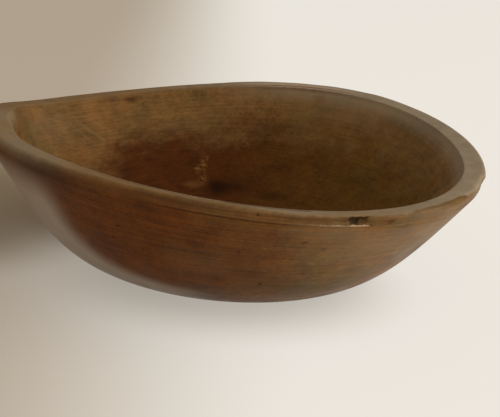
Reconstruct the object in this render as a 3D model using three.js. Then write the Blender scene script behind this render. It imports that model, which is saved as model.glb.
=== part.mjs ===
// A wooden dairy bowl: one block of pale hardwood turned to a wide, shallow bowl with a flat rim.
// Since it was turned, the wood has shrunk across the grain and pulled the rim into a shallow saddle.
// Millimetres and degrees. +Z is up, the origin is the centre of the base, +X runs along the grain.

import * as THREE from 'three';

// Rim
const LENGTH = 340; // outside, along the grain
const WIDTH = 330; // outside, across the grain
const RIM_HEIGHT = 90.5; // mean height of the rim's top above the table
const RIM_WIDTH = 12.8; // mean width of the rim's flat top
const RIM_SWING = 2.7; // how much wider and narrower than the mean the rim gets
const RIM_WIDEST_ANGLE = 126; // direction, from +X, in which the rim is widest
const OUTER_EDGE_RADIUS = 2.6;
const INNER_EDGE_RADIUS = 0.9;

// Warp of the seasoned wood
const SADDLE_RISE = 7.1; // the rim lifts by this at the ends and dips by it at the sides
const WAVE_RISE = 1.3; // a smaller wave with three crests on top of the saddle
const WAVE_ANGLE = 21.4; // direction of one of its crests

// Band and incised line below the rim, outside
const BAND_HEIGHT = 6.6; // from the rim's top down to the line
const BAND_TAPER = 1.5; // the band's foot is this far inside the rim
const LINE_WIDTH = 1.4;
const LINE_DEPTH = 0.9;

// Outside wall
const BASE_DIAMETER = 112; // the flat that it stands on
const BASE_REACH = 62; // how far the wall runs out low before it sweeps up
const BASE_LIFT = 2; // rise of the wall over that reach
const WALL_LEAN = 53; // slope of the wall where it meets the line
const WALL_REACH = 62; // how far down that slope shapes the wall

// Hollow
const FLOOR_THICKNESS = 12;
const FLOOR_DIAMETER = 80; // flat of the floor
const FLOOR_REACH = 55; // how far the floor runs out low before it sweeps up
const HOLLOW_LEAN = 60; // slope of the hollow at the rim
const HOLLOW_REACH = 58; // how far down that slope shapes the hollow

// Facets
const FACETS_ROUND = 84;
const FACETS_WALL = 15;
const FACETS_EDGE = 3;

const rimRadius = LENGTH / 2;
const degrees = THREE.MathUtils.degToRad;

/** A point so far back from another, down a slope given in degrees. */
function downSlope(from, slope, reach) {
  const angle = degrees(slope);
  return new THREE.Vector2(from.x - reach * Math.cos(angle), from.y - reach * Math.sin(angle));
}

/** Points of a quarter round about a centre, from one angle to another in degrees. */
function roundedEdge(centreX, centreY, radius, from, to) {
  const arc = new THREE.EllipseCurve(centreX, centreY, radius, radius, degrees(from), degrees(to), from > to);
  return arc.getPoints(FACETS_EDGE);
}

/** The outside of the bowl's section, from the centre of the base to the rim's top. */
function outsideProfile() {
  const baseEdge = new THREE.Vector2(BASE_DIAMETER / 2, 0);
  const bandFoot = new THREE.Vector2(rimRadius - BAND_TAPER, RIM_HEIGHT - BAND_HEIGHT);
  const lineFoot = downSlope(bandFoot, WALL_LEAN, LINE_WIDTH);
  const wall = new THREE.CubicBezierCurve(
    baseEdge,
    new THREE.Vector2(baseEdge.x + BASE_REACH, BASE_LIFT),
    downSlope(lineFoot, WALL_LEAN, WALL_REACH),
    lineFoot,
  );
  const lineBottom = new THREE.Vector2(
    (bandFoot.x + lineFoot.x) / 2 - LINE_DEPTH * Math.sin(degrees(WALL_LEAN)),
    (bandFoot.y + lineFoot.y) / 2 + LINE_DEPTH * Math.cos(degrees(WALL_LEAN)),
  );
  return [
    new THREE.Vector2(0, 0),
    ...wall.getPoints(FACETS_WALL),
    lineBottom,
    bandFoot,
    ...roundedEdge(rimRadius - OUTER_EDGE_RADIUS, RIM_HEIGHT - OUTER_EDGE_RADIUS, OUTER_EDGE_RADIUS, 0, 90),
  ];
}

/** The hollow's section, from the rim's top to the centre of the floor. */
function hollowProfile() {
  const lipRadius = rimRadius - RIM_WIDTH;
  const floorEdge = new THREE.Vector2(FLOOR_DIAMETER / 2, FLOOR_THICKNESS);
  const lip = new THREE.Vector2(lipRadius, RIM_HEIGHT - INNER_EDGE_RADIUS);
  const wall = new THREE.CubicBezierCurve(
    lip,
    downSlope(lip, HOLLOW_LEAN, HOLLOW_REACH),
    new THREE.Vector2(floorEdge.x + FLOOR_REACH, FLOOR_THICKNESS),
    floorEdge,
  );
  const edge = roundedEdge(lipRadius + INNER_EDGE_RADIUS, lip.y, INNER_EDGE_RADIUS, 90, 180);
  return [
    ...edge.slice(0, -1),
    ...wall.getPoints(FACETS_WALL),
    new THREE.Vector2(0, FLOOR_THICKNESS),
  ];
}

/** Warp the round lathe work to the seasoned shape: oval, saddle, wave and uneven rim. */
function season(geometry, outsideCount, profileCount) {
  const position = geometry.getAttribute('position');
  const point = new THREE.Vector3();
  for (let index = 0; index < position.count; index += 1) {
    point.fromBufferAttribute(position, index);
    const angle = Math.atan2(point.y, point.x);
    const share = THREE.MathUtils.smoothstep(point.z, FLOOR_THICKNESS, RIM_HEIGHT);
    const radius = Math.hypot(point.x, point.y);
    const inHollow = index % profileCount >= outsideCount;
    const swing = RIM_SWING * Math.cos(2 * (angle - degrees(RIM_WIDEST_ANGLE)));
    const radiusNow = inHollow ? radius - share * swing : radius;
    const rise = SADDLE_RISE * Math.cos(2 * angle) + WAVE_RISE * Math.cos(3 * (angle - degrees(WAVE_ANGLE)));
    point.x = radiusNow * Math.cos(angle);
    point.y = radiusNow * Math.sin(angle) * (WIDTH / LENGTH);
    point.z += share * rise;
    position.setXYZ(index, point.x, point.y, point.z);
  }
  geometry.computeVertexNormals();
}

/** The bowl, turned round its axis and then seasoned. */
function turnedBowl() {
  const outside = outsideProfile();
  const profile = [...outside, ...hollowProfile()];
  const geometry = new THREE.LatheGeometry(profile, FACETS_ROUND);
  geometry.rotateX(Math.PI / 2);
  season(geometry, outside.length, profile.length);
  const wood = new THREE.MeshStandardMaterial({ color: 0x6b4d2c, roughness: 0.55, metalness: 0 });
  const bowl = new THREE.Mesh(geometry, wood);
  bowl.name = 'turned_bowl';
  return bowl;
}

const dairyBowl = new THREE.Group();
dairyBowl.add(turnedBowl());

export default dairyBowl;
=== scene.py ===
"""An old turned dairy bowl, dressed for a studio picture.

The bowl is one piece of wood, spun from its section, warped as the seasoned wood has warped and then worn.
Its finish is a procedural aged sycamore. Lengths are millimetres in the fields and metres in the scene.
"""

import logging
import math
from dataclasses import dataclass, field
from enum import Enum

import bmesh
import bpy
from mathutils import Matrix, Vector, noise
from mathutils.geometry import interpolate_bezier


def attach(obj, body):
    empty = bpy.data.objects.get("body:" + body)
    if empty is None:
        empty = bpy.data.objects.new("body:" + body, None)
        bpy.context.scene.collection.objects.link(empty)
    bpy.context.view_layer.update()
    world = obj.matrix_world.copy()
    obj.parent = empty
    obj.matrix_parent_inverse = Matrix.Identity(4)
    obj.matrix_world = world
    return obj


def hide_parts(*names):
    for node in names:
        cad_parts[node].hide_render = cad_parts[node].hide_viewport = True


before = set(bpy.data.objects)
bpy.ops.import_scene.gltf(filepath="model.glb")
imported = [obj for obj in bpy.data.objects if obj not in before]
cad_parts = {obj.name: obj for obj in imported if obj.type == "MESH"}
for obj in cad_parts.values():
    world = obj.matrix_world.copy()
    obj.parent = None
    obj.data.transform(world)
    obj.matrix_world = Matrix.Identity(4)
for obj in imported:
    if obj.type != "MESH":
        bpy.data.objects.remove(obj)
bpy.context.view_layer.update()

MM = 0.001
IMAGE_WIDTH = 500
SURFACE_MAP = "bowl_surface"
UNROLL_RADIUS = 150.0  # an angle becomes millimetres along a circle of this radius on the surface map
MAP_SEAM = 65.0  # direction in degrees where the surface map is cut open

log = logging.getLogger("dairy_bowl")

Link = bpy.types.NodeSocket


def linear(hex_colour: str) -> tuple[float, float, float, float]:
    """Turn an sRGB hex colour to linear.

    Args:
        hex_colour: Six hex digits, such as "7a5230".

    Returns:
        Linear red, green and blue, and an alpha of 1.
    """
    parts = [int(hex_colour[i : i + 2], 16) / 255 for i in (0, 2, 4)]
    return (*[p / 12.92 if p <= 0.04045 else ((p + 0.055) / 1.055) ** 2.4 for p in parts], 1.0)


def smooth_share(value: float, low: float, high: float) -> float:
    """Share of the way from low to high, eased at both ends.

    Args:
        value: The number to place.
        low: Where the share is 0.
        high: Where the share is 1. It may be below low.

    Returns:
        A share from 0 to 1.
    """
    share = min(max((value - low) / (high - low), 0.0), 1.0)
    return share * share * (3 - 2 * share)


def add_node(
    tree: bpy.types.NodeTree, kind: str, inputs: dict | None = None, output: int | str | None = 0, **settings
) -> Link | None:
    """Add a node, set it and link it.

    Args:
        tree: The node tree.
        kind: The node's type name.
        inputs: Input name or index to a value, or to an output socket to link from.
        output: Name or index of the output wanted, or None for a node that ends the tree.
        **settings: The node's own properties.

    Returns:
        The output socket, if one is wanted.
    """
    node = tree.nodes.new(kind)
    for name, value in settings.items():
        setattr(node, name, value)
    for key, value in (inputs or {}).items():
        if isinstance(value, bpy.types.NodeSocket):
            tree.links.new(value, node.inputs[key])
        else:
            node.inputs[key].default_value = value
    return None if output is None else node.outputs[output]


class Side(Enum):
    """Side of the bowl that a mark is on."""

    OUTSIDE = "outside"
    RIM = "rim"
    INSIDE = "inside"


class Tint(Enum):
    """What a mark does to the wood, as an sRGB colour."""

    BLACK = "140b05"
    BROWN = "3f2109"
    RED = "6b2c10"
    DRY = "86704c"
    PALE = "a58a62"
    PINK = "d8b79c"
    OLIVE = "4f421c"
    ASH = "a1937e"
    STRAW = "93742f"
    HONEY = "a8763f"


@dataclass(frozen=True)
class Mark:
    """One stain, scuff or scratch on the surface.

    Attributes:
        side: Side of the bowl.
        angle: Direction from +X in degrees.
        down: Millimetres along the surface from the rim's outer or inner edge, or across the rim from its
            outer edge.
        length: Half length in millimetres, along the rim before turning.
        height: Half height in millimetres.
        tint: Colour of the mark.
        strength: How much of the wood it covers, from 0 to 1.
        turn: Degrees that the mark leans from the rim's line.
        soft: Share of its size over which the mark fades.
        broken: Whether the mark is rubbed through in spots.
    """

    side: Side
    angle: float
    down: float
    length: float
    height: float
    tint: Tint
    strength: float
    turn: float = 0.0
    soft: float = 1.0
    broken: bool = False


MARKS = (
    # Worn stretches and tints of the edges, with painted shade and painted highlights where marked
    Mark(Side.INSIDE, 142.0, 2.0, 44.0, 7.0, Tint.DRY, 0.8, soft=0.6),
    # Painted shade: darker outer edge of the rim on the far right, which is in shade
    Mark(Side.OUTSIDE, -10.0, 2.6, 84.0, 3.2, Tint.BROWN, 0.6, soft=0.5),
    Mark(Side.INSIDE, 24.0, 1.4, 60.0, 1.8, Tint.RED, 0.36, soft=0.8),
    # Painted shade: darker, greyer band on the near right
    Mark(Side.OUTSIDE, -106.0, 4.8, 62.0, 4.4, Tint.OLIVE, 0.36, soft=0.5),
    # Painted shade: darker strip where the rim's outer edge rounds over on the near side
    Mark(Side.OUTSIDE, -148.0, 2.6, 46.0, 4.4, Tint.BROWN, 0.42, soft=0.9),
    Mark(Side.OUTSIDE, -126.0, 3.6, 38.0, 2.5, Tint.BROWN, 0.44, soft=0.9),
    # Painted highlight: pale line along the lower lip of the incised line
    Mark(Side.OUTSIDE, -121.0, 8.0, 22.0, 2.2, Tint.PALE, 0.3, soft=0.9),
    Mark(Side.OUTSIDE, 172.0, 12.0, 30.0, 12.0, Tint.OLIVE, 0.55),
    Mark(Side.OUTSIDE, -179.0, 10.0, 34.0, 12.0, Tint.BROWN, 0.6, soft=0.8),
    Mark(Side.OUTSIDE, -92.0, 4.0, 36.0, 8.0, Tint.ASH, 0.25),
    # Painted highlight: pale line along the lower lip of the incised line
    Mark(Side.OUTSIDE, -97.0, 9.4, 26.0, 0.9, Tint.PALE, 0.65, soft=0.8),
    # The torn chip in the band, and a painted highlight along the line's lower lip under it
    Mark(Side.OUTSIDE, -110.9, 4.8, 5.2, 3.0, Tint.BROWN, 0.7, soft=0.35),
    Mark(Side.OUTSIDE, -114.4, 4.4, 3.2, 2.2, Tint.BROWN, 0.5, soft=0.8),
    Mark(Side.OUTSIDE, -112.6, 4.4, 4.4, 3.4, Tint.BLACK, 0.85, soft=0.35),
    Mark(Side.OUTSIDE, -110.6, 2.6, 4.6, 1.2, Tint.BLACK, 0.75, soft=0.4),
    # Painted highlight: pale pink line along the lower lip of the incised line
    Mark(Side.OUTSIDE, -111.2, 8.1, 8.4, 1.0, Tint.PINK, 0.95, soft=0.45),
    Mark(Side.OUTSIDE, -118.4, 8.6, 11.5, 1.0, Tint.PINK, 0.95, soft=0.6, broken=True),
    Mark(Side.OUTSIDE, -115.8, 8.4, 7.0, 1.1, Tint.PINK, 0.7, soft=0.6),
    Mark(Side.OUTSIDE, -116.0, 6.0, 10.0, 2.6, Tint.PALE, 0.25),
    Mark(Side.OUTSIDE, -104.2, 5.4, 7.0, 2.6, Tint.RED, 0.42, soft=0.9),
    Mark(Side.OUTSIDE, -108.4, 7.6, 1.2, 0.9, Tint.BLACK, 0.8, soft=0.6),
    Mark(Side.OUTSIDE, -103.4, 6.0, 2.6, 1.8, Tint.BROWN, 0.6, soft=0.6),
    Mark(Side.OUTSIDE, -132.6, 4.0, 1.6, 1.2, Tint.BROWN, 0.75, soft=0.9),
    # Spots and tints on the wall outside
    Mark(Side.OUTSIDE, -118.0, 80.0, 45.0, 16.0, Tint.OLIVE, 0.55),
    Mark(Side.OUTSIDE, -104.0, 32.0, 66.0, 32.0, Tint.PALE, 0.42),
    Mark(Side.OUTSIDE, -84.0, 24.0, 40.0, 26.0, Tint.PALE, 0.4),
    Mark(Side.OUTSIDE, -117.0, 15.0, 36.0, 13.0, Tint.PALE, 0.36),
    Mark(Side.OUTSIDE, -84.0, 8.0, 18.0, 6.0, Tint.PALE, 0.45),
    Mark(Side.OUTSIDE, -133.0, 62.0, 56.0, 17.0, Tint.BROWN, 0.24),
    Mark(Side.OUTSIDE, -100.0, 68.0, 52.0, 22.0, Tint.STRAW, 0.3),
    Mark(Side.OUTSIDE, -104.0, 74.0, 52.0, 16.0, Tint.OLIVE, 0.24),
    Mark(Side.OUTSIDE, -88.0, 52.0, 20.0, 13.0, Tint.PALE, 0.3),
    Mark(Side.OUTSIDE, 180.0, 19.0, 46.0, 17.0, Tint.BROWN, 0.34),
    Mark(Side.OUTSIDE, -144.0, 56.0, 36.0, 22.0, Tint.PALE, 0.16),
    Mark(Side.OUTSIDE, -163.2, 37.5, 1.6, 1.2, Tint.BLACK, 0.7, soft=0.6),
    Mark(Side.OUTSIDE, -165.3, 48.4, 1.4, 1.1, Tint.BLACK, 0.6, soft=0.6),
    Mark(Side.OUTSIDE, -121.4, 25.8, 3.4, 2.0, Tint.BROWN, 0.65),
    Mark(Side.OUTSIDE, -116.1, 33.0, 3.4, 2.0, Tint.BROWN, 0.6),
    Mark(Side.OUTSIDE, -127.9, 73.1, 2.2, 1.8, Tint.BLACK, 0.6, soft=0.6),
    # Stains and scuffs in the hollow
    Mark(Side.INSIDE, 74.0, 5.0, 9.0, 4.5, Tint.BROWN, 0.75, soft=0.9),
    Mark(Side.INSIDE, 18.3, 9.0, 8.0, 8.0, Tint.RED, 0.35),
    # Painted light: paler east inner wall and lip, which face away from the light
    Mark(Side.INSIDE, 8.0, 14.0, 66.0, 18.0, Tint.PALE, 0.2),
    Mark(Side.INSIDE, -4.0, 3.0, 50.0, 7.0, Tint.PALE, 0.36),
    Mark(Side.INSIDE, 48.5, 89.0, 22.0, 15.0, Tint.BLACK, 0.7),
    Mark(Side.INSIDE, 42.0, 88.0, 34.0, 14.0, Tint.BLACK, 0.5),
    Mark(Side.INSIDE, 24.0, 92.0, 28.0, 8.0, Tint.BLACK, 0.45),
    Mark(Side.INSIDE, 53.0, 65.0, 6.0, 12.0, Tint.HONEY, 0.42, turn=-14, soft=0.9, broken=True),
    Mark(Side.INSIDE, 55.6, 71.0, 6.0, 6.5, Tint.HONEY, 0.42, soft=0.9, broken=True),
    Mark(Side.INSIDE, 53.8, 80.0, 8.0, 9.0, Tint.HONEY, 0.36, broken=True),
    Mark(Side.INSIDE, 58.5, 86.0, 18.0, 6.0, Tint.HONEY, 0.24),
    Mark(Side.INSIDE, 121.0, 16.0, 46.0, 24.0, Tint.OLIVE, 0.42),
    Mark(Side.INSIDE, 139.0, 10.0, 20.0, 9.0, Tint.OLIVE, 0.55),
    Mark(Side.INSIDE, 108.0, 18.0, 56.0, 26.0, Tint.ASH, 0.1),
    Mark(Side.INSIDE, 97.0, 28.0, 36.0, 18.0, Tint.BROWN, 0.2),
    Mark(Side.INSIDE, 28.0, 32.0, 48.0, 10.0, Tint.BROWN, 0.34),
    Mark(Side.INSIDE, 70.0, 38.0, 20.0, 9.0, Tint.BROWN, 0.36),
    Mark(Side.INSIDE, 61.7, 32.0, 14.0, 8.0, Tint.PALE, 0.14),
    # Fan of scratches in the hollow
    Mark(Side.INSIDE, 90.6, 27.0, 31.0, 1.8, Tint.PALE, 0.24, turn=-46),
    Mark(Side.INSIDE, 92.6, 24.0, 26.0, 1.6, Tint.PALE, 0.2, turn=-42),
    Mark(Side.INSIDE, 94.2, 30.0, 24.0, 1.6, Tint.PALE, 0.2, turn=-52),
    Mark(Side.INSIDE, 88.0, 20.0, 20.0, 1.4, Tint.PALE, 0.16, turn=-40),
    # Dot and worn, paler stretches on the rim
    Mark(Side.RIM, 160.6, 7.0, 1.3, 1.0, Tint.BLACK, 0.8, soft=0.6),
    Mark(Side.RIM, 152.0, 7.0, 52.0, 16.0, Tint.PALE, 0.4),
    Mark(Side.RIM, 172.0, 4.0, 64.0, 20.0, Tint.ASH, 0.4),
    Mark(Side.RIM, 138.0, 8.0, 40.0, 14.0, Tint.ASH, 0.3),
    Mark(Side.RIM, 26.0, 5.4, 64.0, 6.0, Tint.PINK, 0.44, soft=0.6),
    Mark(Side.RIM, -146.0, 8.5, 40.0, 6.5, Tint.ASH, 0.4, soft=0.9),
    Mark(Side.RIM, -126.0, 4.5, 42.0, 9.0, Tint.ASH, 0.42, soft=0.8),
)


@dataclass(frozen=True)
class Sector:
    """Part of the bowl's round. Angles are degrees.

    Attributes:
        middle: Direction of its middle from +X.
        near: Angle from the middle within which it counts in full.
        far: Angle from the middle where it ends.
    """

    middle: float
    near: float
    far: float


@dataclass(frozen=True)
class Nodes:
    """Short calls for the nodes that the materials use most."""

    tree: bpy.types.NodeTree

    def calc(self, operation: str, *values: Link | float) -> Link:
        """Result of an operation on up to three numbers."""
        return add_node(self.tree, "ShaderNodeMath", dict(enumerate(values)), operation=operation)

    def vector(self, operation: str, *values: Link | Vector | tuple, output: str = "Vector") -> Link:
        """Result of an operation on up to three vectors."""
        inputs = dict(enumerate(values))
        return add_node(self.tree, "ShaderNodeVectorMath", inputs, output=output, operation=operation)

    def scaled(self, value: Link, scale: Link | float) -> Link:
        """A vector or a colour times a number."""
        return add_node(self.tree, "ShaderNodeVectorMath", {0: value, "Scale": scale}, operation="SCALE")

    def ramp(
        self, value: Link, low: float, high: float, start: float, end: float, smooth: bool = False
    ) -> Link:
        """A number taken from one range to another and held at its ends.

        Args:
            value: The number.
            low: Where the result is start.
            high: Where the result is end. It may be below low.
            start: Result at low.
            end: Result at high.
            smooth: Whether the ramp is eased at both ends.

        Returns:
            The result.
        """
        inputs = {0: value, 1: low, 2: high, 3: start, 4: end}
        kind = "SMOOTHSTEP" if smooth else "LINEAR"
        return add_node(self.tree, "ShaderNodeMapRange", inputs, interpolation_type=kind)

    def noise(
        self, place: Link, scale: float, detail: float, roughness: float = 0.5, output: str = "Fac"
    ) -> Link:
        """Cloudy noise from 0 to 1.

        Args:
            place: Coordinates.
            scale: Clouds per unit of the coordinates.
            detail: Number of finer layers.
            roughness: Strength of the finer layers.
            output: Name of the output wanted.

        Returns:
            The noise.
        """
        inputs = {"Vector": place, "Scale": scale, "Detail": detail, "Roughness": roughness}
        return add_node(self.tree, "ShaderNodeTexNoise", inputs, output=output)

    def mix(self, share: Link, under: Link | str, over: Link | str) -> Link:
        """One colour laid over another.

        Args:
            share: How much the upper colour covers.
            under: The lower colour, as a socket or in sRGB hex.
            over: The upper colour, as a socket or in sRGB hex.

        Returns:
            The colour.
        """
        lower, upper = (linear(c) if isinstance(c, str) else c for c in (under, over))
        inputs = {0: share, 6: lower, 7: upper}
        return add_node(self.tree, "ShaderNodeMix", inputs, output=2, data_type="RGBA")


@dataclass(frozen=True)
class Ground:
    """Nodes and coordinates that the bowl's patterns share.

    Attributes:
        nodes: Calls that add nodes to the material.
        bowl: The bowl, for the places of its edges.
        place: Object coordinates.
        surface: The surface map.
        down: Distance along the section in metres, below zero outside.
        compass: Direction from the bowl's axis, flat and of length 1.
        outside: 1 on the wall outside, 0 on the rim and in the hollow.
    """

    nodes: Nodes
    bowl: "TurnedBowl"
    place: Link
    surface: Link
    down: Link
    compass: Link
    outside: Link

    @classmethod
    def laid(cls, nodes: Nodes, bowl: "TurnedBowl") -> "Ground":
        """Lay the coordinates out in a material.

        Args:
            nodes: Calls that add nodes to the material.
            bowl: The bowl that the material goes on.

        Returns:
            The coordinates.
        """
        place = add_node(nodes.tree, "ShaderNodeTexCoord", output="Object")
        surface = add_node(nodes.tree, "ShaderNodeUVMap", uv_map=SURFACE_MAP)
        down = add_node(nodes.tree, "ShaderNodeSeparateXYZ", {0: surface}, output="Y")
        flat = nodes.vector("MULTIPLY", place, (1.0, 1.0, 0.0))
        compass = nodes.vector("NORMALIZE", flat)
        outside = nodes.ramp(down, -4 * MM, -1 * MM, 1.0, 0.0)
        return cls(nodes, bowl, place, surface, down, compass, outside)

    def towards(self, sector: Sector) -> Link:
        """How much of a sector a point is in.

        Args:
            sector: The sector.

        Returns:
            A share from 0 to 1.
        """
        middle, near, far = (math.radians(a) for a in (sector.middle, sector.near, sector.far))
        way = (math.cos(middle), math.sin(middle), 0.0)
        along = self.nodes.vector("DOT_PRODUCT", self.compass, way, output="Value")
        return self.nodes.ramp(along, math.cos(far), math.cos(near), 0.0, 1.0, smooth=True)


@dataclass(frozen=True)
class AgedSycamore:
    """Sycamore, turned, scrubbed and waxed over many years.

    A pale, close-grained wood gone brown. Side grain is honey to tan with fine streaks along the block, end
    grain has drunk more wax and is redder and darker, the lower hollow is stained nearly chocolate, and the
    rim's top is dry, grey and matt where the patina has worn away. Lathe lines run round the walls.
    Colours are sRGB hex, lengths are millimetres, and a tone says how much a pattern changes the colour.
    """

    olive_wood: str = "795c32"
    red_wood: str = "865f35"
    end_grain: str = "6c3b10"
    hollow_red: str = "4e2607"
    hollow_olive: str = "684616"
    rim_brown: str = "886c49"
    rim_grey: str = "a09079"
    # Painted shade in the incised line on the near side
    groove_shade: str = "3c1f0a"
    # Painted sheen: grey reflection of the pale floor on the west wall
    painted_sheen: str = "b4a18f"
    base_tone: float = -0.34
    patch_size: float = 34.0
    streak_width: float = 1.5
    streak_length: float = 46.0
    streak_tone: float = 1.1
    streak_relief: float = 0.045
    lathe_line: float = 1.2
    lathe_tone_inside: float = 0.75
    lathe_tone_outside: float = 1.6
    lathe_relief: float = 0.055
    mottle_size: float = 2.4
    mottle_tone: float = 0.38
    blotch_size: float = 16.0
    blotch_tone: float = 1.2
    dent_size: float = 14.0
    dent_depth: float = 0.5
    speck_spacing: float = 15.0
    pit_depth: float = 0.5
    stain_wander: float = 18.0
    stain_from: float = 17.0
    stain_to: float = 57.0
    stain_strength: float = 0.95
    clean_side: Sector = Sector(150, 57, 72)
    clean_drop: float = 26.0
    olive_way: tuple[float, float, float] = (0.77, -0.64, 0.0)
    rim_fray: float = 0.7
    rim_shifts: tuple[tuple[Sector, float], ...] = (
        (Sector(178, 20, 50), 1.6),
        (Sector(-87, 4, 13), -3.6),
        (Sector(-151, 13, 27), -3.4),
        (Sector(-52, 14, 26), 2.2),
    )
    dry_band: Sector = Sector(-158, 30, 62)
    # Dry, worn wood at the inner lip, laid on farther down as painted light on the east wall, which faces
    # away from the light
    dry_and_lit_lip: Sector = Sector(-20, 40, 75)
    grey_side: Sector = Sector(-30, 30, 110)
    # Where the incised line gets painted shade
    shaded_line: Sector = Sector(-138, 11, 26)
    # Where the painted sheen lies
    painted_sheen_side: Sector = Sector(172, 25, 50)
    mark_fray: float = 3.4
    wax_gloss: float = 0.36
    hollow_gloss: float = 0.6
    dry_gloss: float = 0.85
    gloss_index: float = 1.14

    def material(self, bowl: "TurnedBowl") -> bpy.types.Material:
        """Make the material.

        Args:
            bowl: The bowl that it goes on, for the places of its rim and line.

        Returns:
            The material.
        """
        material = bpy.data.materials.new("aged_sycamore")
        material.use_nodes = True
        material.node_tree.nodes.clear()
        ground = Ground.laid(Nodes(material.node_tree), bowl)
        colour = self.wood(ground)
        colour = self.stain(ground, colour)
        colour, relief = self.grain(ground, colour)
        colour, rim = self.edges(ground, colour)
        colour, pits = self.specks(ground, colour)
        colour, dull = self.marks(ground, colour)
        # Painted sheen: grey floor reflection on the west wall
        colour = self.with_painted_sheen(ground, colour)
        self.shade(ground, colour, (rim, dull), relief, pits)
        return material

    def wood(self, ground: Ground) -> Link:
        """Colour of the bare wood: its drifting hue, and the redder end grain.

        Args:
            ground: The shared nodes and coordinates.

        Returns:
            The colour.
        """
        nodes = ground.nodes
        drift = nodes.noise(ground.place, 1 / (self.patch_size * MM), 4.0, 0.6)
        hue = nodes.ramp(drift, 0.36, 0.64, 0.0, 1.0)
        colour = nodes.mix(hue, self.olive_wood, self.red_wood)
        east = add_node(nodes.tree, "ShaderNodeSeparateXYZ", {0: ground.compass}, output="X")
        end = nodes.calc("MULTIPLY", east, east)
        end = nodes.calc("MULTIPLY_ADD", drift, 0.9, end)
        end = nodes.ramp(end, 0.5, 1.2, 0.0, 1.0)
        end = nodes.calc("MULTIPLY", end, ground.outside)
        return nodes.mix(end, colour, self.end_grain)

    def grain(self, ground: Ground, colour: Link) -> tuple[Link, Link]:
        """Streaks along the block, lathe lines, blotches and mottling.

        Args:
            ground: The shared nodes and coordinates.
            colour: The colour so far.

        Returns:
            The new colour, and the height of the lathe lines, grain and dents in millimetres.
        """
        nodes, place = ground.nodes, ground.place
        along, across = 1 / (self.streak_length * MM), 1 / (self.streak_width * MM)
        grain = nodes.noise(nodes.vector("MULTIPLY", place, (along, across, across)), 1.0, 4.0, 0.65)
        round_part = nodes.scaled(ground.compass, 3.0)
        line = nodes.calc("MULTIPLY", ground.down, 1 / (self.lathe_line * MM))
        lift = add_node(nodes.tree, "ShaderNodeCombineXYZ", {"Z": line})
        lathe = nodes.noise(nodes.vector("ADD", round_part, lift), 1.0, 3.0, 0.6)
        mottle = nodes.noise(place, 1 / (self.mottle_size * MM), 4.0, 0.7)
        blotch = nodes.noise(place, 1 / (self.blotch_size * MM), 5.0, 0.6)
        dents = nodes.noise(place, 1 / (self.dent_size * MM), 2.0)
        tone = nodes.calc("MULTIPLY_ADD", grain, self.streak_tone, self.base_tone)
        turned = nodes.ramp(ground.outside, 0.0, 1.0, self.lathe_tone_inside, self.lathe_tone_outside)
        lines = nodes.calc("SUBTRACT", lathe, 0.5)
        tone = nodes.calc("MULTIPLY_ADD", lines, turned, tone)
        tone = nodes.calc("MULTIPLY_ADD", mottle, self.mottle_tone, tone)
        tone = nodes.calc("MULTIPLY_ADD", blotch, self.blotch_tone, tone)
        relief = nodes.calc("MULTIPLY", grain, self.streak_relief)
        relief = nodes.calc("MULTIPLY_ADD", lathe, self.lathe_relief, relief)
        relief = nodes.calc("MULTIPLY_ADD", dents, self.dent_depth, relief)
        return nodes.scaled(colour, tone), relief

    def stain(self, ground: Ground, colour: Link) -> Link:
        """The dark stain of the lower hollow, redder at the back and olive on the near right.

        Args:
            ground: The shared nodes and coordinates.
            colour: The colour so far.

        Returns:
            The new colour.
        """
        nodes, lip = ground.nodes, ground.bowl.lip_station
        cloud = nodes.noise(ground.place, 30.0, 6.0, 0.65)
        wander = nodes.ramp(cloud, 0.3, 0.7, -self.stain_wander * MM, self.stain_wander * MM)
        depth = nodes.calc("ADD", ground.down, wander)
        depth = nodes.calc("MULTIPLY_ADD", ground.towards(self.clean_side), -self.clean_drop * MM, depth)
        top, bottom = (lip + self.stain_from) * MM, (lip + self.stain_to) * MM
        low = nodes.ramp(depth, top, bottom, 0.0, self.stain_strength, smooth=True)
        near_right = nodes.vector("DOT_PRODUCT", ground.place, self.olive_way, output="Value")
        near_right = nodes.ramp(near_right, 10 * MM, 110 * MM, 0.0, 1.0)
        return nodes.mix(low, colour, nodes.mix(near_right, self.hollow_red, self.hollow_olive))

    def edges(self, ground: Ground, colour: Link) -> tuple[Link, Link]:
        """The dry rim, and painted shade in the line under the band on the near side.

        Args:
            ground: The shared nodes and coordinates.
            colour: The colour so far.

        Returns:
            The new colour, and a mask of the rim's top.
        """
        nodes, lip, line = ground.nodes, ground.bowl.lip_station, ground.bowl.line_station
        cloud = nodes.noise(ground.place, 90.0, 6.0, 0.65)
        ragged = nodes.noise(ground.place, 220.0, 4.0)
        frayed = nodes.ramp(ragged, 0.3, 0.7, -self.rim_fray * MM, self.rim_fray * MM)
        frayed = nodes.calc("ADD", ground.down, frayed)
        # The dry top begins farther out or in on some sides
        edge = frayed
        for sector, shift in self.rim_shifts:
            edge = nodes.calc("MULTIPLY_ADD", ground.towards(sector), shift * MM, edge)
        rim_from = nodes.ramp(edge, -2.8 * MM, -0.9 * MM, 0.0, 0.9)
        band = nodes.ramp(frayed, (line - 3) * MM, (line + 4) * MM, 0.0, 0.3)
        band = nodes.calc("MULTIPLY", band, ground.towards(self.dry_band))
        rim_from = nodes.calc("MAXIMUM", rim_from, band)
        rim_to = nodes.ramp(frayed, (lip - 0.8) * MM, (lip + 2.6) * MM, 1.0, 0.0)
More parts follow.
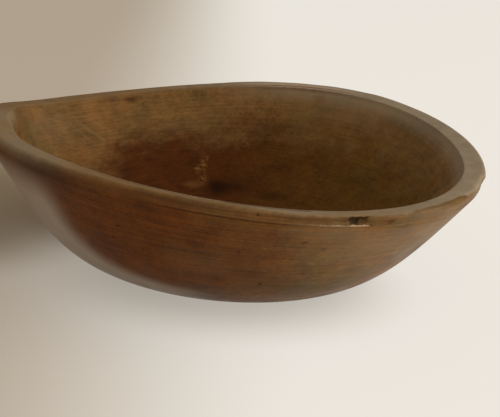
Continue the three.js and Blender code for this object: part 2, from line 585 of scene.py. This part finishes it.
        # Worn lip plus painted light on the east inner wall
        dry_and_lit_lip = nodes.ramp(frayed, lip * MM, (lip + 15) * MM, 0.8, 0.0)
        dry_and_lit_lip = nodes.calc("MULTIPLY", dry_and_lit_lip, ground.towards(self.dry_and_lit_lip))
        rim_to = nodes.calc("MAXIMUM", rim_to, dry_and_lit_lip)
        rim = nodes.calc("MULTIPLY", rim_from, rim_to)
        dry = nodes.mix(ground.towards(self.grey_side), self.rim_brown, self.rim_grey)
        dry = nodes.scaled(dry, nodes.ramp(cloud, 0.3, 0.7, 0.86, 1.14))
        colour = nodes.mix(rim, colour, dry)
        # Painted shade in the incised line, on the near side only
        off = nodes.calc("SUBTRACT", ground.down, line * MM)
        off = nodes.calc("ABSOLUTE", off)
        line_shade = nodes.ramp(off, 0.3 * MM, 1.5 * MM, 0.5, 0.0)
        line_shade = nodes.calc("MULTIPLY", line_shade, ground.towards(self.shaded_line))
        return nodes.mix(line_shade, colour, self.groove_shade), rim

    def specks(self, ground: Ground, colour: Link) -> tuple[Link, Link]:
        """Scattered dark specks and pin holes.

        Args:
            ground: The shared nodes and coordinates.
            colour: The colour so far.

        Returns:
            The new colour, and a mask of the pin holes.
        """
        nodes = ground.nodes
        cells = {"Vector": ground.place, "Scale": 1 / (self.speck_spacing * MM)}
        away = add_node(nodes.tree, "ShaderNodeTexVoronoi", cells, output="Distance")
        luck = add_node(nodes.tree, "ShaderNodeTexVoronoi", cells, output="Color")
        luck = add_node(nodes.tree, "ShaderNodeSeparateXYZ", {0: luck}, output="X")
        size = nodes.ramp(luck, 0.55, 1.0, 0.0, 0.07)
        speck = nodes.calc("SUBTRACT", size, away)
        speck = nodes.ramp(speck, 0.0, 0.02, 0.0, 0.7)
        return nodes.mix(speck, colour, Tint.BLACK.value), speck

    def marks(self, ground: Ground, colour: Link) -> tuple[Link, Link]:
        """The stains, scuffs and scratches.

        Args:
            ground: The shared nodes and coordinates.
            colour: The colour so far.

        Returns:
            The new colour, and a mask of the dark marks, which are dull.
        """
        nodes = ground.nodes
        ragged = nodes.noise(ground.place, 240.0, 4.0, output="Color")
        shift = nodes.vector("SUBTRACT", ragged, (0.5, 0.5, 0.5))
        at = nodes.vector("ADD", ground.surface, nodes.scaled(shift, self.mark_fray * MM))
        crumbs = nodes.noise(ground.place, 420.0, 2.0)
        rubbed = nodes.ramp(crumbs, 0.42, 0.58, 0.1, 1.0)
        dull: Link | float = 0.0
        for mark in MARKS:
            middle = Vector((*ground.bowl.on_map(mark), 0.0))
            shrink = Vector((1 / (mark.length * MM), 1 / (mark.height * MM), 0.0))
            spot = at
            if mark.turn:
                spot = add_node(
                    nodes.tree,
                    "ShaderNodeVectorRotate",
                    {"Vector": at, "Center": middle, "Angle": -math.radians(mark.turn)},
                    rotation_type="Z_AXIS",
                )
            spot = nodes.vector("MULTIPLY_ADD", spot, shrink, -middle * shrink)
            away = nodes.vector("LENGTH", spot, output="Value")
            cover = nodes.ramp(away, 1.0, 1.0 - mark.soft, 0.0, mark.strength, smooth=True)
            if mark.broken:
                cover = nodes.calc("MULTIPLY", cover, rubbed)
            if mark.tint is Tint.BLACK:
                dull = nodes.calc("MAXIMUM", dull, cover)
            colour = nodes.mix(cover, colour, mark.tint.value)
        return colour, dull

    def with_painted_sheen(self, ground: Ground, colour: Link) -> Link:
        """Painted sheen: a grey reflection of the pale floor on the west wall, seen where the wall turns
        away.

        Args:
            ground: The shared nodes and coordinates.
            colour: The colour so far.

        Returns:
            The new colour.
        """
        nodes = ground.nodes
        turned_away = add_node(nodes.tree, "ShaderNodeLayerWeight", {"Blend": 0.5}, output="Facing")
        share = nodes.ramp(turned_away, 0.595, 0.73, 0.0, 1.0, smooth=True)
        share = nodes.calc("MULTIPLY", share, ground.towards(self.painted_sheen_side))
        below = nodes.ramp(ground.down, -40 * MM, -12 * MM, 1.0, 0.0)
        share = nodes.calc("MULTIPLY", share, below)
        return nodes.mix(share, colour, self.painted_sheen)

    def shade(
        self, ground: Ground, colour: Link, dry: tuple[Link, Link], relief: Link, pits: Link
    ) -> None:
        """The surface: waxed outside, duller in the hollow, dry on the rim, with its relief.

        Args:
            ground: The shared nodes and coordinates.
            colour: The finished colour.
            dry: Masks of the places with no wax on them.
            relief: Height of the lathe lines, grain and dents in millimetres.
            pits: Mask of the pin holes.
        """
        nodes, tree = ground.nodes, ground.nodes.tree
        handled = nodes.noise(ground.place, 60.0, 5.0)
        gloss: Link | float = self.hollow_gloss
        for mask, over in ((ground.outside, self.wax_gloss), *((m, self.dry_gloss) for m in dry)):
            gloss = add_node(tree, "ShaderNodeMix", {0: mask, 2: gloss, 3: over}, data_type="FLOAT")
        uneven = nodes.ramp(handled, 0.3, 0.7, -0.06, 0.08)
        gloss = nodes.calc("ADD", gloss, uneven)
        height = nodes.calc("MULTIPLY_ADD", pits, -self.pit_depth, relief)
        lumps = {"Strength": 1.0, "Distance": MM, "Height": height}
        bump = add_node(tree, "ShaderNodeBump", lumps, output="Normal")
        wax = {"Base Color": colour, "Roughness": gloss, "IOR": self.gloss_index, "Normal": bump}
        shader = add_node(tree, "ShaderNodeBsdfPrincipled", wax)
        add_node(tree, "ShaderNodeOutputMaterial", {"Surface": shader}, output=None)


@dataclass(frozen=True)
class Span:
    """Range that fades in and out.

    Attributes:
        start: Where it begins.
        full_from: Where it first counts in full.
        full_to: Where it last counts in full.
        end: Where it ends.
    """

    start: float
    full_from: float
    full_to: float
    end: float

    def share(self, value: float) -> float:
        """Share of the range at a value, from 0 to 1."""
        return smooth_share(value, self.start, self.full_from) * smooth_share(value, self.end, self.full_to)

    def share_round(self, angle: float) -> float:
        """Share of the range at a direction in degrees, for a range that may run past 180."""
        return self.share(self.start + (angle - self.start) % 360)


class Edge(Enum):
    """Line round the bowl that a worn place is measured from."""

    RIM = "outer edge of the rim"
    LIP = "inner edge of the rim"
    LINE = "incised line"


@dataclass(frozen=True)
class Wear:
    """One worn place on the bowl's edges. Lengths are millimetres.

    Attributes:
        edge: Line round the bowl that it is measured from.
        around: Directions that it covers, in degrees.
        along: Distances along the section that it covers, from its line towards the hollow.
        inward: How far it is moved towards the axis.
        lift: How far it is moved up.
    """

    edge: Edge
    around: Span
    along: Span
    inward: float = 0.0
    lift: float = 0.0


RIM_EDGE = Span(-11.0, -3.0, -1.0, 7.0)

WEAR = (
    # The nick in the near right of the rim and the chip in the band
    Wear(Edge.RIM, Span(-92.0, -70.0, -58.6, -57.2), RIM_EDGE, inward=1.9),
    Wear(Edge.RIM, Span(-114.1, -112.5, -110.5, -108.9), Span(-7.4, -4.9, -1.9, 0.6), inward=1.3),
    # The swollen lip and the filled line at the left
    Wear(Edge.LIP, Span(116.0, 134.0, 150.0, 168.0), Span(-18.0, -2.0, 10.0, 26.0), inward=6.0),
    Wear(Edge.LINE, Span(140.0, 159.0, 201.0, 220.0), Span(-0.8, 0.0, 0.0, 0.8), inward=-0.35),
    # The lip worn down along the right and far side, and the proud outer edge there
    Wear(Edge.LIP, Span(-68.0, -46.0, 34.0, 56.0), Span(-11.0, 0.0, 0.0, 11.0), inward=-0.7, lift=-1.4),
    Wear(Edge.RIM, Span(-12.0, 5.0, 35.0, 52.0), RIM_EDGE, lift=0.7),
)


@dataclass
class TurnedBowl:
    """The bowl, one block of wood. Lengths are millimetres, angles are degrees."""

    length: float = 340.0
    width: float = 330.0
    rim_height: float = 90.5
    rim_width: float = 12.8
    rim_swing: float = 2.7
    rim_widest_angle: float = 126.0
    outer_edge_radius: float = 2.6
    inner_edge_radius: float = 0.9
    saddle_rise: float = 7.1
    wave_rise: float = 1.3
    wave_angle: float = 21.4
    band_height: float = 6.6
    band_taper: float = 1.5
    line_width: float = 1.4
    line_depth: float = 0.5
    base_diameter: float = 112.0
    base_reach: float = 62.0
    base_lift: float = 2.0
    wall_lean: float = 53.0
    wall_reach: float = 62.0
    floor_thickness: float = 12.0
    floor_diameter: float = 80.0
    floor_reach: float = 55.0
    hollow_lean: float = 60.0
    hollow_reach: float = 58.0
    steps_round: int = 480
    steps_wall: int = 44
    steps_band: int = 4
    steps_outer_edge: int = 6
    steps_inner_edge: int = 4
    steps_flat: int = 5
    line_fullness: float = 0.6
    swing_margin: float = 3.0
    knock_scale: float = 0.03
    knock_in: float = 0.25
    knock_up: float = 0.3
    tip_around: Span = Span(100.0, 128.0, 145.0, 170.0)
    tip_lift: float = 2.4
    tip_lean: float = 3.0
    lip_station: float = field(init=False, default=0.0)
    line_station: float = field(init=False, default=0.0)

    def down_slope(self, start: Vector, slope: float, reach: float) -> Vector:
        """A point so far back from another, down a slope.

        Args:
            start: The point, with radius in x and height in z.
            slope: Slope in degrees.
            reach: Distance.

        Returns:
            The new point.
        """
        angle = math.radians(slope)
        return start - Vector((reach * math.cos(angle), 0.0, reach * math.sin(angle)))

    def edge(self, centre: Vector, radius: float, start: float, end: float, steps: int) -> list[Vector]:
        """Points of a rounded edge.

        Args:
            centre: Centre of the round, with radius in x and height in z.
            radius: Radius of the round.
            start: First angle in degrees.
            end: Last angle in degrees.
            steps: Number of steps.

        Returns:
            The points.
        """
        angles = [math.radians(start + (end - start) * i / steps) for i in range(steps + 1)]
        return [centre + radius * Vector((math.cos(a), 0.0, math.sin(a))) for a in angles]

    def outline(self) -> tuple[list[Vector], list[float]]:
        """The bowl's section, from the centre of the base round to the centre of the floor.

        Returns:
            Points with radius in x and height in z, and each point's distance along the section from the
            rim's outer edge: below zero outside, above zero on the rim and in the hollow.
        """
        rim = self.length / 2
        base_edge = Vector((self.base_diameter / 2, 0.0, 0.0))
        band_foot = Vector((rim - self.band_taper, 0.0, self.rim_height - self.band_height))
        line_foot = self.down_slope(band_foot, self.wall_lean, self.line_width)
        line_middle = (band_foot + line_foot) / 2
        lean = math.radians(self.wall_lean)
        line_bottom = line_middle + self.line_depth * Vector((-math.sin(lean), 0.0, math.cos(lean)))
        wall = interpolate_bezier(
            base_edge,
            base_edge + Vector((self.base_reach, 0.0, self.base_lift)),
            self.down_slope(line_foot, self.wall_lean, self.wall_reach),
            line_foot,
            self.steps_wall,
        )
        outer_centre = Vector((rim - self.outer_edge_radius, 0.0, self.rim_height - self.outer_edge_radius))
        outer_edge = self.edge(outer_centre, self.outer_edge_radius, 0, 90, self.steps_outer_edge)
        lip = Vector((rim - self.rim_width, 0.0, self.rim_height - self.inner_edge_radius))
        inner_centre = lip + Vector((self.inner_edge_radius, 0.0, 0.0))
        inner_edge = self.edge(inner_centre, self.inner_edge_radius, 90, 180, self.steps_inner_edge)
        floor_edge = Vector((self.floor_diameter / 2, 0.0, self.floor_thickness))
        hollow = interpolate_bezier(
            lip,
            self.down_slope(lip, self.hollow_lean, self.hollow_reach),
            floor_edge + Vector((self.floor_reach, 0.0, 0.0)),
            floor_edge,
            self.steps_wall,
        )
        flat = self.steps_flat
        base = [Vector((base_edge.x * i / flat, 0.0, 0.0)) for i in range(flat)]
        line = [
            line_foot.lerp(line_bottom, self.line_fullness),
            line_bottom,
            band_foot.lerp(line_bottom, self.line_fullness),
        ]
        band = [band_foot.lerp(outer_edge[0], i / self.steps_band) for i in range(self.steps_band)]
        top = [outer_edge[-1].lerp(inner_edge[0], i / flat) for i in range(1, flat)]
        middle = Vector((0.0, 0.0, self.floor_thickness))
        floor = [floor_edge.lerp(middle, i / flat) for i in range(1, flat + 1)]
        outside = [*base, *wall, *line, *band, *outer_edge]
        points = [*outside, *top, *inner_edge[:-1], *hollow, *floor]
        stations = [0.0]
        for before, after in zip(points, points[1:]):
            stations.append(stations[-1] + (after - before).length)
        zero = stations[len(outside) - 1]
        stations = [s - zero for s in stations]
        self.lip_station = stations[len(outside) + len(top) + self.steps_inner_edge // 2]
        self.line_station = stations[len(base) + len(wall) + 1]
        return points, stations

    def on_map(self, mark: Mark) -> tuple[float, float]:
        """Place of a mark's middle on the surface map.

        Args:
            mark: The mark.

        Returns:
            Metres along and up the map.
        """
        start = self.lip_station if mark.side is Side.INSIDE else 0.0
        step = -mark.down if mark.side is Side.OUTSIDE else mark.down
        return self.unrolled(math.radians(mark.angle)), (start + step) * MM

    def unrolled(self, angle: float) -> float:
        """Metres along the surface map for a direction in radians, counted from the map's seam."""
        return ((angle - math.radians(MAP_SEAM)) % math.tau) * UNROLL_RADIUS * MM

    def seasoned(self, point: Vector, station: float) -> Vector:
        """Where a point of the round turned bowl is now that the wood has warped.

        Args:
            point: The point as turned, in millimetres.
            station: Its distance along the section.

        Returns:
            The point now.
        """
        angle = math.atan2(point.y, point.x)
        radius = math.hypot(point.x, point.y)
        share = smooth_share(point.z, self.floor_thickness, self.rim_height)
        if station > self.lip_station - self.swing_margin:
            swing = math.cos(2 * (angle - math.radians(self.rim_widest_angle)))
            radius -= share * self.rim_swing * swing
        rise = self.saddle_rise * math.cos(2 * angle)
        rise += self.wave_rise * math.cos(3 * (angle - math.radians(self.wave_angle)))
        across = self.width / self.length
        return Vector((radius * math.cos(angle), radius * math.sin(angle) * across, point.z + share * rise))

    def worn(self, point: Vector, station: float) -> Vector:
        """Where a point is after years of knocks: softened, slightly uneven edges and a nicked rim.

        Args:
            point: The point of the seasoned bowl, in millimetres.
            station: Its distance along the section.

        Returns:
            The worn point.
        """
        angle = math.degrees(math.atan2(point.y, point.x))
        outward = Vector((point.x, point.y, 0.0)).normalized()
        starts = {Edge.RIM: 0.0, Edge.LIP: self.lip_station, Edge.LINE: self.line_station}
        knock = noise.fractal(point * self.knock_scale, 1.0, 2.0, 3) * RIM_EDGE.share(station)
        high = smooth_share(point.z, self.floor_thickness, self.rim_height)
        tip = high * self.tip_around.share_round(angle)
        inward = self.knock_in * knock - self.tip_lean * tip
        lift = self.knock_up * knock + self.tip_lift * tip
        for wear in WEAR:
            share = wear.along.share(station - starts[wear.edge]) * wear.around.share_round(angle)
            inward += wear.inward * share
            lift += wear.lift * share
        return point - inward * outward + Vector((0.0, 0.0, lift))

    def build(self) -> bpy.types.Object:
        """Spin the section, warp and wear it.

        Returns:
            The bowl's object, at the origin.
        """
        points, stations = self.outline()
        shape = bmesh.new()
        distance = shape.verts.layers.float.new("section")
        turned = [shape.verts.new(p) for p in points]
        for vert, station in zip(turned, stations):
            vert[distance] = station
        edges = [shape.edges.new(pair) for pair in zip(turned, turned[1:])]
        bmesh.ops.spin(
            shape,
            geom=[*turned, *edges],
            cent=(0, 0, 0),
            axis=(0, 0, 1),
            angle=math.tau,
            steps=self.steps_round,
            use_merge=True,
        )
        bmesh.ops.remove_doubles(shape, verts=shape.verts, dist=0.001)
        bmesh.ops.recalc_face_normals(shape, faces=shape.faces)
        self.unroll(shape)
        for vert in shape.verts:
            vert.co = self.worn(self.seasoned(vert.co, vert[distance]), vert[distance]) * MM
        for face in shape.faces:
            face.smooth = True
        mesh = bpy.data.meshes.new("turned_bowl_worn")
        shape.to_mesh(mesh)
        shape.free()
        bowl = bpy.data.objects.new("turned_bowl_worn", mesh)
        bpy.context.scene.collection.objects.link(bowl)
        log.info("%s: %d faces", bowl.name, len(mesh.polygons))
        return bowl

    def unroll(self, shape: bmesh.types.BMesh) -> None:
        """Give the round bowl its surface map: direction along u, distance along the section in v.

        Args:
            shape: The turned bowl, in millimetres, before it is warped.
        """
        chart = shape.loops.layers.uv.new(SURFACE_MAP)
        distance = shape.verts.layers.float["section"]
        whole_turn = math.tau * UNROLL_RADIUS * MM
        for face in shape.faces:
            middle = face.calc_center_median()
            middle_u = self.unrolled(math.atan2(middle.y, middle.x))
            for loop in face.loops:
                spot = loop.vert.co
                on_axis = math.hypot(spot.x, spot.y) < 0.01
                u = middle_u if on_axis else self.unrolled(math.atan2(spot.y, spot.x))
                u += whole_turn * round((middle_u - u) / whole_turn)
                loop[chart].uv = (u, loop.vert[distance] * MM)

    def dress(self, bowl: bpy.types.Object, finish: AgedSycamore) -> None:
        """Give the bowl its finish and set it on the frame.

        Args:
            bowl: The bowl's object.
            finish: The finish.
        """
        bowl.data.materials.append(finish.material(self))
        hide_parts("turned_bowl")
        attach(bowl, "root")
        log.info("%s: dressed in %s", bowl.name, bowl.data.materials[0].name)


@dataclass(frozen=True)
class FloorShade:
    """Soft round shade on the floor. Lengths are metres, as seen from the camera.

    Attributes:
        aside: How far its middle is to the right of the bowl.
        ahead: How far its middle is beyond the bowl.
        near: Radius within which it counts in full.
        far: Radius where it ends.
        most: How much of the floor's own colour it covers, from 0 to 1.
        tint: Its colour in sRGB hex.
    """

    aside: float
    ahead: float
    near: float
    far: float
    most: float
    tint: str


FLOOR_SHADES = (
    # Under the bowl
    FloorShade(0.0, -0.02, 0.06, 0.138, 0.5, "857a68"),
    # Beside it, with a darker middle, and joined to the base
    FloorShade(-0.25, 0.09, 0.115, 0.2, 0.68, "33240f"),
    FloorShade(-0.25, 0.09, 0.085, 0.135, 0.36, "33240f"),
    FloorShade(-0.08, 0.09, 0.03, 0.105, 0.7, "33240f"),
)


@dataclass
class Studio:
    """A pale floor, soft light from the right, and the camera. Lengths are metres, angles are degrees."""

    floor_colour: str = "7d6c50"
    floor_bounce: str = "e0d9cd"
    floor_glow_left: str = "999084"
    floor_glow_right: str = "dcdbd7"
    floor_glow_span: tuple[float, float] = (-0.17, 0.06)
    floor_radius: float = 9.0
    azimuth: float = -48.9
    elevation: float = 15.9
    roll: float = 5.43
    pan: float = 0.825
    tilt: float = -0.773
    distance: float = 0.9714
    aim_height: float = 0.0543
    focal_pixels: float = 1442.3
    key_colour: str = "fff6ea"
    key_power: float = 30.0
    key_size: float = 2.2
    key_distance: float = 1.9
    key_height: float = 0.9
    key_lead: float = 0.5
    sky_colour: str = "f4efe6"
    sky_strength: float = 0.47

    def axes(self) -> tuple[Vector, Vector, Vector, Vector]:
        """The camera's place and directions.

        Returns:
            Its place, and its forward, right and up directions.
        """
        azimuth, elevation = math.radians(self.azimuth), math.radians(self.elevation)
        back = Vector(
            (
                math.sin(azimuth) * math.cos(elevation),
                -math.cos(azimuth) * math.cos(elevation),
                math.sin(elevation),
            )
        )
        forward = -back
        right = forward.cross(Vector((0, 0, 1))).normalized()
        up = right.cross(forward)
        place = Vector((0, 0, self.aim_height)) + back * self.distance
        pan, tilt, roll = math.radians(self.pan), math.radians(self.tilt), math.radians(self.roll)
        forward, right = (
            math.cos(pan) * forward + math.sin(pan) * right,
            math.cos(pan) * right - math.sin(pan) * forward,
        )
        forward, up = (
            math.cos(tilt) * forward + math.sin(tilt) * up,
            math.cos(tilt) * up - math.sin(tilt) * forward,
        )
        right, up = (
            math.cos(roll) * right + math.sin(roll) * up,
            math.cos(roll) * up - math.sin(roll) * right,
        )
        return place, forward, right, up

    def flat_axes(self) -> tuple[Vector, Vector]:
        """The camera's forward and right directions, laid flat on the floor."""
        _, forward, right, _ = self.axes()
        return Vector((forward.x, forward.y, 0)).normalized(), Vector((right.x, right.y, 0)).normalized()

    def build_camera(self) -> None:
        """Set the camera at the photograph's viewing angle."""
        place, forward, right, up = self.axes()
        data = bpy.data.cameras.new("camera")
        data.sensor_fit = "HORIZONTAL"
        data.sensor_width = 36.0
        data.lens = self.focal_pixels / IMAGE_WIDTH * data.sensor_width
        data.clip_end = 100.0
        camera = bpy.data.objects.new("camera", data)
        turn = Matrix((right, up, -forward)).transposed().to_4x4()
        camera.matrix_world = Matrix.Translation(place) @ turn
        bpy.context.scene.collection.objects.link(camera)
        bpy.context.scene.camera = camera

    def floor_material(self) -> bpy.types.Material:
        """Matt paint that takes the bowl's shadow.

        To the eye and in gloss it looks paler than the light on it.

        Returns:
            The material.
        """
        material = bpy.data.materials.new("painted_board")
        material.use_nodes = True
        tree = material.node_tree
        tree.nodes.clear()
        nodes = Nodes(tree)
        seen = add_node(tree, "ShaderNodeLightPath", output="Is Camera Ray")
        for kind in ("Is Glossy Ray", "Is Transmission Ray"):
            seen = nodes.calc("MAXIMUM", seen, add_node(tree, "ShaderNodeLightPath", output=kind))
        place = add_node(tree, "ShaderNodeTexCoord", output="Object")
        # Painted light falloff: the floor's glow is darker to the left, away from the light
        right = self.axes()[2]
        across = nodes.vector("DOT_PRODUCT", place, right, output="Value")
        share = nodes.ramp(across, *self.floor_glow_span, 0.0, 1.0, smooth=True)
        tint = nodes.mix(share, self.floor_glow_left, self.floor_glow_right)
        ahead, aside = self.flat_axes()
        for shade in FLOOR_SHADES:
            middle = shade.ahead * ahead + shade.aside * aside
            reach = nodes.vector("DISTANCE", place, middle, output="Value")
            cover = nodes.ramp(reach, shade.near, shade.far, shade.most, 0.0, smooth=True)
            tint = nodes.mix(cover, tint, shade.tint)
        glow = add_node(tree, "ShaderNodeEmission", {"Color": tint, "Strength": 1.0})
        paint = add_node(tree, "ShaderNodeBsdfDiffuse", {"Color": linear(self.floor_colour)})
        pale = add_node(tree, "ShaderNodeAddShader", {0: paint, 1: glow})
        dim = add_node(tree, "ShaderNodeBsdfDiffuse", {"Color": linear(self.floor_bounce)})
        board = add_node(tree, "ShaderNodeMixShader", {0: seen, 1: dim, 2: pale})
        add_node(tree, "ShaderNodeOutputMaterial", {"Surface": board}, output=None)
        return material

    def build_floor(self) -> None:
        """Lay the floor, a wide pale disc that fills the picture."""
        shape = bmesh.new()
        bmesh.ops.create_circle(shape, cap_ends=True, radius=self.floor_radius, segments=96)
        mesh = bpy.data.meshes.new("floor")
        shape.to_mesh(mesh)
        shape.free()
        mesh.materials.append(self.floor_material())
        floor = bpy.data.objects.new("floor", mesh)
        bpy.context.scene.collection.objects.link(floor)

    def build_light(self) -> None:
        """Hang one broad soft light to the right and set a weak even sky."""
        ahead, aside = self.flat_axes()
        data = bpy.data.lights.new("window_light", "AREA")
        data.shape = "SQUARE"
        data.size = self.key_size
        data.energy = self.key_power
        data.color = linear(self.key_colour)[:3]
        light = bpy.data.objects.new("window_light", data)
        place = aside * self.key_distance - ahead * self.key_lead + Vector((0, 0, self.key_height))
        aim = Vector((0, 0, self.aim_height)) - place
        light.matrix_world = Matrix.Translation(place) @ aim.to_track_quat("-Z", "Y").to_matrix().to_4x4()
        bpy.context.scene.collection.objects.link(light)
        world = bpy.data.worlds.new("soft_sky")
        world.use_nodes = True
        sky = world.node_tree.nodes["Background"]
        sky.inputs["Color"].default_value = linear(self.sky_colour)
        sky.inputs["Strength"].default_value = self.sky_strength
        bpy.context.scene.world = world

    def build(self) -> None:
        """Build the floor, the light and the camera."""
        self.build_floor()
        self.build_light()
        self.build_camera()
        bpy.context.scene.view_settings.view_transform = "Standard"
        log.info("studio: floor, light and camera")


def main() -> None:
    """Build the bowl and the studio."""
    logging.basicConfig(level=logging.INFO, format="%(message)s")
    bowl = TurnedBowl()
    bowl.dress(bowl.build(), AgedSycamore())
    Studio().build()


if __name__ == "__main__":
    main()
